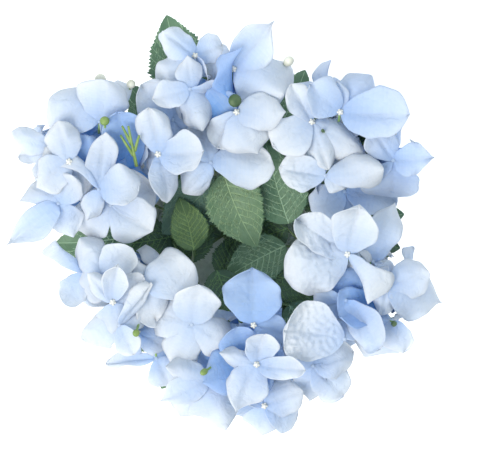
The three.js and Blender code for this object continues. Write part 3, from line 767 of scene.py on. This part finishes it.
def petal_width(u, tip):
    """Half a petal's width, as a share, along it: a narrow claw, then a round, square or pointed end."""
    peak = 1.25 - 0.25 * tip
    blunt = 0.50 + (0.50 * tip**2 if tip > 0 else 0.22 * tip)
    power = lerp(0.40, blunt, clamp(1.3 * u) ** 2)
    return np.maximum(np.sin(math.pi * clamp(u) ** peak), 0.0) ** power


def crumple(x, y, chance):
    """Folds of crushed cloth, from 0 to 1: sharp ridges in chance directions."""
    height = 0
    for _ in range(CLOTH.crumples):
        turn, phase, spread = chance(0, math.pi), chance(0, TURN), chance(0.5, 1.3)
        across = x * math.cos(turn) + y * math.sin(turn)
        along = y * math.cos(turn) - x * math.sin(turn)
        bend = 1.3 * np.sin(0.6 * along / CLOTH.crumple_size + 2 * phase)
        wave = spread * across / CLOTH.crumple_size + phase + bend
        height = height + (1 - np.abs(np.sin(wave))) ** 1.5
    return height / CLOTH.crumples


def petal_grid(bead, petal, bend, grid, detail=True):
    """One petal's middle surface: u runs along it from 0 to 1, and v across it from -1 to 1."""
    chance = np.random.default_rng(petal.seed).uniform
    rows, columns = grid
    u = np.sin(np.linspace(0, math.pi / 2, rows))[:, None]
    even = np.linspace(-1, 1, columns)[None, :]
    v = np.sin(np.linspace(-math.pi / 2, math.pi / 2, columns))[None, :] * 0.35 + even * 0.65
    length, half = petal.length, petal.width / 2
    skew = chance(-CLOTH.skew, CLOTH.skew)
    uneven = 1 + CLOTH.uneven * np.sin(chance(4, 9) * u + chance(0, 6) + v * 1.7)
    uneven = uneven + CLOTH.nibble * np.sin(chance(12, 20) * u + chance(0, 6) + v * 2.6)
    x = length * (u * (1 - 0.04 * v**2) + 0.05 * max(petal.tip, 0) * u**8 * (1 - np.abs(v)) ** 2)
    y = half * v * np.maximum(petal_width(u, petal.tip), 0.05) * uneven + skew * length * u**2
    edge = np.abs(v) ** 2
    inner = clamp(u * 3)
    posed = PETAL.rise * u + (petal.cup + bend) * u**2 - petal.sag * edge * clamp(u * 1.4)
    z = CLOTH.fold * chance(-1, 1) * np.abs(v) * u
    z = z + CLOTH.curl * chance(-1, 1) * clamp(u - 0.6) ** 2 * 6.25
    for side in (-1, 1):
        waves, phase = chance(0.8, 2.0), chance(0, TURN)
        frill = clamp(side * v) ** 2 * u
        z = z + CLOTH.curl * chance(-0.9, 0.6) * clamp(side * v - 0.35) ** 2 * 2.4 * u
        z = z + CLOTH.ruffle * chance(0.4, 1.8) * frill * np.sin(TURN * waves * u + phase)
    z = z * length
    for _ in range(CLOTH.pleats):
        turn, off = chance(-1.0, 1.0), chance(-0.3, 0.3) * half
        fold = y * math.cos(turn) - (x - 0.55 * length) * math.sin(turn) - off
        z = z + CLOTH.pleat * chance(-1, 1) * (np.sqrt(fold**2 + 1e-6) - 0.001) * clamp(u * 1.5)
    z = posed * length + np.minimum(z, CLOTH.lift * np.tanh(z / CLOTH.lift))
    if detail:
        crease = CLOTH.crease * chance(0.4, 2.0)
        off = (y - skew * length * u**2) / CLOTH.crease_width
        z = z - crease * np.exp(-(off**2)) * np.sin(math.pi * u)
        z = z + CLOTH.crumple * petal.crushed * crumple(x, y, chance) * inner
    return bead + x[..., None] * petal.along + y[..., None] * petal.across + z[..., None] * petal.normal


def cloth_number(share):
    """The nearest cloth of the ladder."""
    return np.rint((CLOTH_STEPS - 1) * clamp(share)).astype(int)


def cloth_steps(grid, tone):
    """The number of each face's cloth in a petal's closed sheet: paler from its foot to its edge. The deeper
    foot is partly the cloth's own dye and partly painted shade where the petals meet at the bead.
    """
    rows, columns = grid
    edge, deeper = TONES[tone]
    u = np.sin(np.linspace(0, math.pi / 2, rows))
    u = ((u[1:] + u[:-1]) / 2)[:, None]
    v = np.abs(np.linspace(-1, 1, columns))
    v = ((v[1:] + v[:-1]) / 2)[None, :]
    # Partly painted shade: deeper towards the foot, where the petals meet.
    foot = clamp(1 - 0.95 * u - 0.30 * v**2 * clamp(3 * u)) ** 1.15
    face = cloth_number(edge + deeper * foot).ravel()
    rim = np.full(2 * (rows + columns) - 4, cloth_number(edge))
    return np.concatenate([face, face, rim])


def framed_petal(along, normal, length, width, seed, tip=None, crushed=None):
    """A petal's frame and sizes, with its chance tip, cup, sag and creases."""
    random = seeded(seed)
    blunt = lerp(-0.8, 0.5, next(random))
    cup = lerp(-0.9, 1.1, next(random)) * PETAL.cup
    sag = lerp(-0.8, 1.8, next(random)) * PETAL.sag
    wrinkled = lerp(0.1, 0.7, next(random))
    return Named(
        along=along, normal=normal, across=np.cross(normal, along), length=length, width=width, seed=seed,
        tip=blunt if tip is None else tip, cup=cup, sag=sag, crushed=wrinkled if crushed is None else crushed,
    )


def shown_floret(row, seed):
    """A listed floret: its bead, its normal, its cloth and its petals."""
    tone, bead, *petals = row
    out = []
    for number, (heading, pitch, roll, length, width, *looks) in enumerate(petals):
        level = in_plan(heading, 1, 0)
        across = np.cross(UP, level)
        along = turned_about(level, across, -pitch)
        normal = turned_about(np.cross(along, across), along, roll)
        out.append(framed_petal(along, normal, length * MM, width * MM, 4 * seed + number, *looks))
    return np.array(bead) * MM, unit(sum(petal.normal for petal in out)), tone, out


def domed_floret(centre, bearing, lean, heading, reach, scale, tone, seed):
    """A floret on a dome: its bead, its normal, its cloth and its petals."""
    random = seeded(seed)
    outward = in_plan(bearing, math.sin(math.radians(lean)), math.cos(math.radians(lean)))
    bead = centre + outward * FLORET.dome * reach
    normal = unit(outward + UP * FLORET.upturn)
    first = in_plan(heading, 1, 0)
    first = unit(first - normal * first.dot(normal))
    petals = []
    for quarter in range(4):
        along = turned_about(first, normal, 90 * quarter + 10 * (next(random) - 0.5))
        size = (0.92 + 0.16 * next(random)) * scale
        length, width = PETAL.length * size, PETAL.width * size
        twisted = turned_about(normal, along, PINWHEEL)
        petals.append(framed_petal(along, twisted, length, width, 4 * seed + quarter))
    return bead, normal, tone, petals


def head_florets(index, centre, share, florets):
    """The head's listed florets, then the skirt round the dome's edge and the smaller ones inside."""
    seeds = (1009 * (index + 1) + 31 * number + 7 for number in range(99))
    for row in florets:
        yield shown_floret(row, next(seeds))
    random = seeded(577 * (index + 1))
    turn = 360 * next(random)
    for i in range(SKIRT.count):
        bearing = turn + (360 / SKIRT.count) * (i + 0.3 * next(random))
        lean = SKIRT.lean + SKIRT.swing * (2 * next(random) - 1)
        heading = 360 * next(random)
        # The skirt's mid tones are partly painted shade under the dome's edge.
        tone, reach = SKIRT_TONES[i % len(SKIRT_TONES)], SKIRT.reach * share
        yield domed_floret(centre, bearing, lean, heading, reach, SKIRT.scale, tone, next(seeds))
    for i in range(INNER.count):
        lean = lerp(INNER.least_lean, INNER.most_lean, i / (INNER.count - 1))
        # The inner florets all take the deep blue tone: painted shade for the hidden gaps.
        bearing, heading, reach = turn + GOLDEN_ANGLE * i, 360 * next(random), INNER.reach * share
        yield domed_floret(centre, bearing, lean, heading, reach, INNER.scale, INNER_SHADE_TONE, next(seeds))


def tree_of(grid):
    """A rough surface of a grid for telling what it touches."""
    return BVHTree.FromPolygons(grid.reshape(-1, 3).tolist(), quads(numbered(*grid.shape[:2])).tolist())


def sphere_of(grid):
    """The middle of a grid's points, and how far they reach from it."""
    points = grid.reshape(-1, 3)
    middle = points.mean(axis=0)
    return middle, np.linalg.norm(points - middle, axis=1).max()


class Space:
    """What is already there: rough surfaces, each with its middle and radius for a quick first test."""

    def __init__(self):
        self.trees, self.spheres = [], []

    def add(self, grid):
        middle, radius = sphere_of(grid)
        self.trees.append(tree_of(grid))
        self.spheres.append((*middle, radius))

    def meets(self, grid):
        """How many face pairs of a surface cross what is there."""
        if not self.trees:
            return 0
        middle, radius = sphere_of(grid)
        spheres = np.array(self.spheres)
        near = np.flatnonzero(np.linalg.norm(spheres[:, :3] - middle, axis=1) < spheres[:, 3] + radius)
        tree = tree_of(grid)
        return sum(len(tree.overlap(self.trees[i])) for i in near)


def place_petal(bead, petal, limbs, blossom, shown):
    """The bend that best clears what is there, or None where a hidden petal has no room."""
    tries = []
    for bend in PETAL_BENDS:
        rough = petal_grid(bead, petal, bend, TEST_GRID, detail=False)[1:]
        crossed = blossom.meets(rough) + LIMB_WEIGHT * limbs.meets(rough)
        tries.append((crossed, abs(bend), bend, rough))
        if not crossed:
            break
    crossed, _, bend, rough = min(tries, key=lambda t: t[:2])
    if crossed > MOST_CROSSED and not shown:
        return None, None
    return bend, rough


def bead_cluster(pile, bead, normal, along):
    """A floret's eye: one bead in a ring of smaller ones."""
    top = bead + normal * BEAD.height
    ball(pile, top, BEAD.radius, normal, 0.85)
    for number in range(BEAD.lobes):
        out = turned_about(along, normal, 45 + 360 / BEAD.lobes * number)
        ball(pile, top + out * BEAD.ring - normal * BEAD.drop, BEAD.lobe, normal, 0.8, 5, 8)


def bowed(start, end, way, bow, steps=9):
    """A path from start to end that bows out along a direction."""
    t = np.linspace(0, 1, steps)[:, None]
    return lerp(start, end, t) + way * bow * np.sin(math.pi * t)


class FlowerHead:
    """One flower head while it grows, with a pile for each kind of piece."""

    def __init__(self, index):
        self.name, bearing, reach, dome, florets = HEADS[index]
        plan = head_plan(bearing, reach)
        self.hub = plan.hub
        self.florets = list(head_florets(index, plan.centre, dome, florets))
        self.listed = len(florets)
        self.petals, self.beads, self.stalks, self.buds = Pile(), Pile(), Pile(), Pile()
        self.random = np.random.default_rng(400 + index)
        foot = plan.tip + plan.rise * CLEARANCE
        share = np.linspace(0, 1, 8)
        radii = lerp(BOUGH.tip * 0.95, HEAD.stalk_radius, share)
        tube(self.stalks, lerp(foot, plan.hub, share[:, None]), radii, 10)
        ball(self.stalks, plan.hub, HEAD.hub, plan.rise)

    def add_floret(self, number, limbs, blossom):
        """The petals that have room, on a pedicel, round an open or shut eye."""
        shown = number < self.listed
        bead, normal, tone, petals = self.florets[number]
        placed = 0
        for petal in petals:
            bend, rough = place_petal(bead, petal, limbs, blossom, shown)
            if bend is None:
                continue
            grid = CRUSHED_GRID if petal.crushed > 1 else CROWN_GRID if shown else INNER_GRID
            blossom.add(rough)
            sheet = closed_sheet(petal_grid(bead, petal, bend, grid), CLOTH.thickness)
            self.petals.add(sheet, grid_faces(*grid), cloth_steps(grid, tone))
            placed += 1
        if placed:
            bow = unit(np.cross(bead - self.hub, UP) + 1e-9) * self.random.uniform(-BOW.pedicel, BOW.pedicel)
            path = bowed(self.hub, bead, bow, 1)
            radii = lerp(FLORET.pedicel * 1.5, FLORET.pedicel, np.linspace(0, 1, len(path)))
            tube(self.stalks, path, radii, 7)
        # A shut eye takes a cloth near its floret's deep foot tone, partly painted shade.
        if number in SHUT_EYES[self.name] or tone == "blue":
            ball(self.petals, bead, SHUT_EYE, normal, 0.7, worn=cloth_number(sum(TONES[tone]) * 0.8))
        elif placed > 1:
            bead_cluster(self.beads, bead, normal, petals[0].along)

    def add_buds(self):
        """The head's buds, each on a stalk from the hub, and its bare shoots."""
        for spot, radius, long, tone in BUDS.get(self.name, ()):
            spot = np.array(spot) * MM
            tube(self.stalks, bowed(self.hub, spot, UP, BOW.bud), FLORET.pedicel, 6)
            worn = list(BUD_TONES).index(tone)
            ball(self.buds, spot, radius * MM, unit(spot - self.hub), long, 8, 12, worn)
        for start, end in SHOOTS.get(self.name, ()):
            path = bowed(np.array(start) * MM, np.array(end) * MM, UP, BOW.bud)
            tube(self.buds, path, lerp(SHOOT_RADIUS, 0.6 * SHOOT_RADIUS, np.linspace(0, 1, len(path))), 8)

    def make(self):
        """The head's pieces, which all stand for its one solid."""
        nodes = [f"flower_head_{self.name}"]
        self.petals.piece(f"petals_{self.name}", PETAL_CLOTHS, "petals", nodes)
        self.beads.piece(f"beads_{self.name}", [BEAD_CREAM], "petals", nodes)
        self.stalks.piece(f"pedicels_{self.name}", [PEDICEL_GREEN], "stem", nodes)
        self.buds.piece(f"buds_{self.name}", BUD_PLASTICS, "stem", nodes)


def flower_heads(limbs, blossom):
    """All flower heads. The florets that show are placed on every head before the hidden ones."""
    heads = [FlowerHead(index) for index in range(len(HEADS))]
    for head in heads:
        for number in range(head.listed):
            head.add_floret(number, limbs, blossom)
    for head in heads:
        for number in range(head.listed, len(head.florets)):
            head.add_floret(number, limbs, blossom)
    for head in heads:
        head.add_buds()
        head.make()


# ---- leaves ----


def leaf_width(s):
    """Half a leaf's width at a share of its length."""
    return np.sin(math.pi * clamp(s) ** 0.72) ** 0.85


def leaf_surface(leaf, s, t, lift=0.0):
    """Points of a leaf at shares of its length and of its half width."""
    length = LEAF.length * leaf.share
    s, t = np.broadcast_arrays(np.asarray(s, float), np.asarray(t, float))
    swell = np.sin(math.pi * clamp(s))
    vein = s - VEIN.sweep * np.abs(t) ** VEIN.bow - VEIN.first
    lane = VEIN.pairs * vein / VEIN.span - VEIN.stagger * (t > 0)
    quilt = np.abs(np.sin(math.pi * lane)) * clamp(6 * np.abs(t)) * (1 - t**2)
    wave = t**2 * np.sin(leaf.waves * s * TURN + leaf.phase + (t > 0) * 2.1) * swell
    z = length * (LEAF.fold * np.abs(t) ** 1.15 * swell - LEAF.droop * s**2)
    z = z + leaf.share * (BLADE.quilt * quilt * clamp(4 * (1 - s)) + BLADE.wave * wave) + lift
    x = length * s
    y = LEAF.width / 2 * leaf.share * t * leaf_width(s)
    y = y + BLADE.sway * leaf.sway * np.sin(math.pi * s)
    return leaf.base + x[..., None] * leaf.along + y[..., None] * leaf.across + z[..., None] * leaf.normal


def leaf_blade(leaf, pile):
    """The blade, with its edge cut to teeth that point to the tip."""
    rows, columns = BLADE.teeth * 3 + 1, 15
    s = np.linspace(0, 1, rows)[:, None]
    t = np.linspace(-1, 1, columns)[None, :]
    saw = (s * BLADE.teeth) % 1.0
    bite = BLADE.tooth * (1 - saw) * np.abs(t) ** 8 * clamp(8 * s) * clamp(14 * (1 - s))
    grid = leaf_surface(leaf, s, t * (1 - 1.6 * bite))
    pile.add(closed_sheet(grid, BLADE.thickness), grid_faces(rows, columns), leaf.tone)


def vein_tube(leaf, pile, s, t, radii, sides):
    """A raised vein along shares of the leaf's length and half width."""
    tube(pile, leaf_surface(leaf, s, t, VEIN.lift), radii, sides, leaf.tone)


def leaf_veins(leaf, pile, random):
    """The midrib, the paired side veins that sweep to the tip, and the net between them."""
    s = np.linspace(0.0, 0.97, 26)
    vein_tube(leaf, pile, s, np.zeros(26), lerp(VEIN.midrib, VEIN.tertiary, s), 5)
    step = VEIN.span / VEIN.pairs
    for side in (-1, 1):
        for pair in range(VEIN.pairs):
            root = VEIN.first + step * (pair + (VEIN.stagger if side > 0 else 0.0))
            t = np.linspace(0.0, 0.93, 12)
            s = root + VEIN.sweep * t**VEIN.bow + 0.005 * np.sin(t * 14 + pair)
            vein_tube(leaf, pile, s, side * t, lerp(VEIN.lateral, VEIN.tertiary * 0.8, t), 4)
            for _ in range(VEIN.net):
                start, way = random.uniform(0.06, 0.84), random.choice((-1, 1))
                span, turn = step * random.uniform(0.3, 0.8), random.uniform(0.02, 0.10)
                k = np.linspace(0, 1, 5)
                s = root + VEIN.sweep * start**VEIN.bow + way * span * k
                t = start + turn * k + random.uniform(-0.03, 0.03, 5) * (k > 0)
                if 0.02 < s.min() and s.max() < 0.96 and 0.01 < t.min() and t.max() < 0.94:
                    vein_tube(leaf, pile, s, side * t, lerp(VEIN.tertiary, VEIN.tertiary * 0.6, k), 3)


def leaf_rows(index):
    """The bough's listed leaves, then its own: base, heading, pitch and share of each."""
    name, bearing = HEADS[index][:2]
    after = HEADS[(index + 1) % len(HEADS)][1]
    gap = ((after - bearing) % 360) / 2
    rows = [(np.array(base) * MM, *rest) for bough, base, *rest in SHOWN_LEAVES if bough == name]
    for reach, height, turn, *rest in (GAP_LEAF, *UNDER_LEAVES):
        heading = bearing + (gap if turn is None else turn)
        rows.append((in_plan(heading, reach * MM, height * MM), heading, *rest))
    return rows


def leaf_frame(base, heading, pitch, share, tone, seed):
    """A leaf's place, frame, size and tone, with its chance waves and sway."""
    random = np.random.default_rng(seed)
    along = in_plan(heading, math.cos(math.radians(pitch)), -math.sin(math.radians(pitch)))
    across = unit(np.cross(UP, along))
    return Named(
        base=base, along=along, across=across, normal=np.cross(along, across), share=share,
        tone=list(LEAF_TONES).index(tone),
        waves=random.uniform(1.2, 2.2), phase=random.uniform(0, 6), sway=random.uniform(-1, 1),
    )


def leaf_spray(index, limbs):
    """A twig from the bough's side, with a petiole, a blade and its veins for each leaf."""
    name, bearing, reach, *_ = HEADS[index]
    path = bough_path(bearing, reach, 201)
    at = round(TWIG.at * 200)
    tangent = unit(path[at + 1] - path[at - 1])
    side = -unit(np.cross(tangent, UP))
    lift = unit(np.cross(side, tangent))
    away = unit(side + lift * (0.6 if lift[2] > 0 else -0.6))
    root = path[at] + away * (lerp(BOUGH.root, BOUGH.tip, TWIG.at) + CLEARANCE)
    knot = root + away * TWIG.length
    blades, veins, twigs = Pile(), Pile(), Pile()
    twig = lerp(root, knot, np.linspace(0, 1, len(TWIG.swell))[:, None])
    tube(twigs, twig, [TWIG.radius * swell for swell in TWIG.swell], 9)
    ball(twigs, knot, TWIG.radius * 1.45)
    random = np.random.default_rng(900 + index)
    for number, (base, *rest) in enumerate(leaf_rows(index)):
        leaf = leaf_frame(base, *rest, 60 + 10 * index + number)
        way = unit(np.cross(unit(base - knot), leaf.across))
        petiole = bowed(knot, base + leaf.along * MM, way, BOW.petiole, 11)
        tube(twigs, petiole, lerp(TWIG.petiole * 1.15, TWIG.petiole * 0.8, np.linspace(0, 1, 11)), 7)
        leaf_blade(leaf, blades)
        leaf_veins(leaf, veins, random)
        limbs.add(leaf_surface(leaf, np.linspace(0.02, 0.99, 7)[:, None], np.linspace(-1, 1, 5)[None, :]))
    nodes = [f"leaf_spray_{name}"]
    blades.piece(f"leaves_{name}", LEAF_CLOTHS, "leaves", nodes)
    veins.piece(f"leaf_veins_{name}", VEIN_GREENS, "leaves", nodes)
    twigs.piece(f"petioles_{name}", [STEM_GREEN], "stem", nodes)


# ---- the stage, the light and the camera ----


def floor():
    mesh = bpy.data.meshes.new("floor")
    corners = [(x * FLOOR, y * FLOOR, 0) for x, y in ((-1, -1), (1, -1), (1, 1), (-1, 1))]
    mesh.from_pydata(corners, [], [(0, 1, 2, 3)])
    material, tree, principled = shader("floor_white", (0.94, 0.94, 0.94), 0.9)
    principled.inputs["Emission Color"].default_value = (1, 1, 1, 1)
    principled.inputs["Emission Strength"].default_value = 0.5
    bumped(tree, principled, (noise(tree, 30, 2), 0.0004))
    mesh.materials.append(material)
    made = in_scene("floor", mesh)
    made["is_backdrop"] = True


def area_light(name, light):
    """A round light that faces the flowers."""
    data = bpy.data.lights.new(name, "AREA")
    data.shape, data.size, data.energy, data.color = "DISK", light.size, light.power, light.color
    lamp = in_scene(name, data)
    lamp.location = light.place
    way = -unit(np.array(light.place) - np.array(AIM))
    lamp.rotation_mode = "QUATERNION"
    lamp.rotation_quaternion = Vector(way).to_track_quat("-Z", "Y")


def studio():
    """A pale sky and two lights, with colours shown as they are."""
    world = bpy.data.worlds.new("studio")
    bpy.context.scene.world = world
    world.use_nodes = True
    background = world.node_tree.nodes["Background"]
    background.inputs["Color"].default_value = (*SKY.color, 1)
    background.inputs["Strength"].default_value = SKY.strength
    area_light("key", KEY)
    area_light("fill", FILL)
    view = bpy.context.scene.view_settings
    view.view_transform = "Standard"
    view.look = "None"
    view.exposure = 0.0


def camera():
    data = bpy.data.cameras.new("camera")
    made = in_scene("camera", data)
    made.location = (*VIEW.centre, VIEW.height + VIEW.distance)
    data.sensor_fit = "HORIZONTAL"
    data.sensor_width = VIEW.sensor
    data.lens = VIEW.sensor * VIEW.distance / VIEW.width
    data.clip_start, data.clip_end = 0.01, 20
    bpy.context.scene.camera = made


# ---- making it all ----


def plant():
    """All pieces. Boughs and leaves come before the petals, which find their room between them."""
    pot_piece()
    plaster_piece()
    stem_piece()
    limbs, blossom = Space(), Space()
    for name, bearing, reach, *_ in HEADS:
        bough_piece(name, bearing, reach)
        path = bough_path(bearing, reach, 12)
        limbs.add(np.stack([path - UP * BOUGH.root, path + UP * BOUGH.root], 1))
    for index in range(len(HEADS)):
        leaf_spray(index, limbs)
    flower_heads(limbs, blossom)


camera()
studio()
floor()
plant()
bpy.context.scene.cycles.use_denoising = True

boxes = {"cad": CAD_BOX, "visual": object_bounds()}
{name: [[round(c, 5) for c in corner] for corner in box] for name, box in boxes.items()}
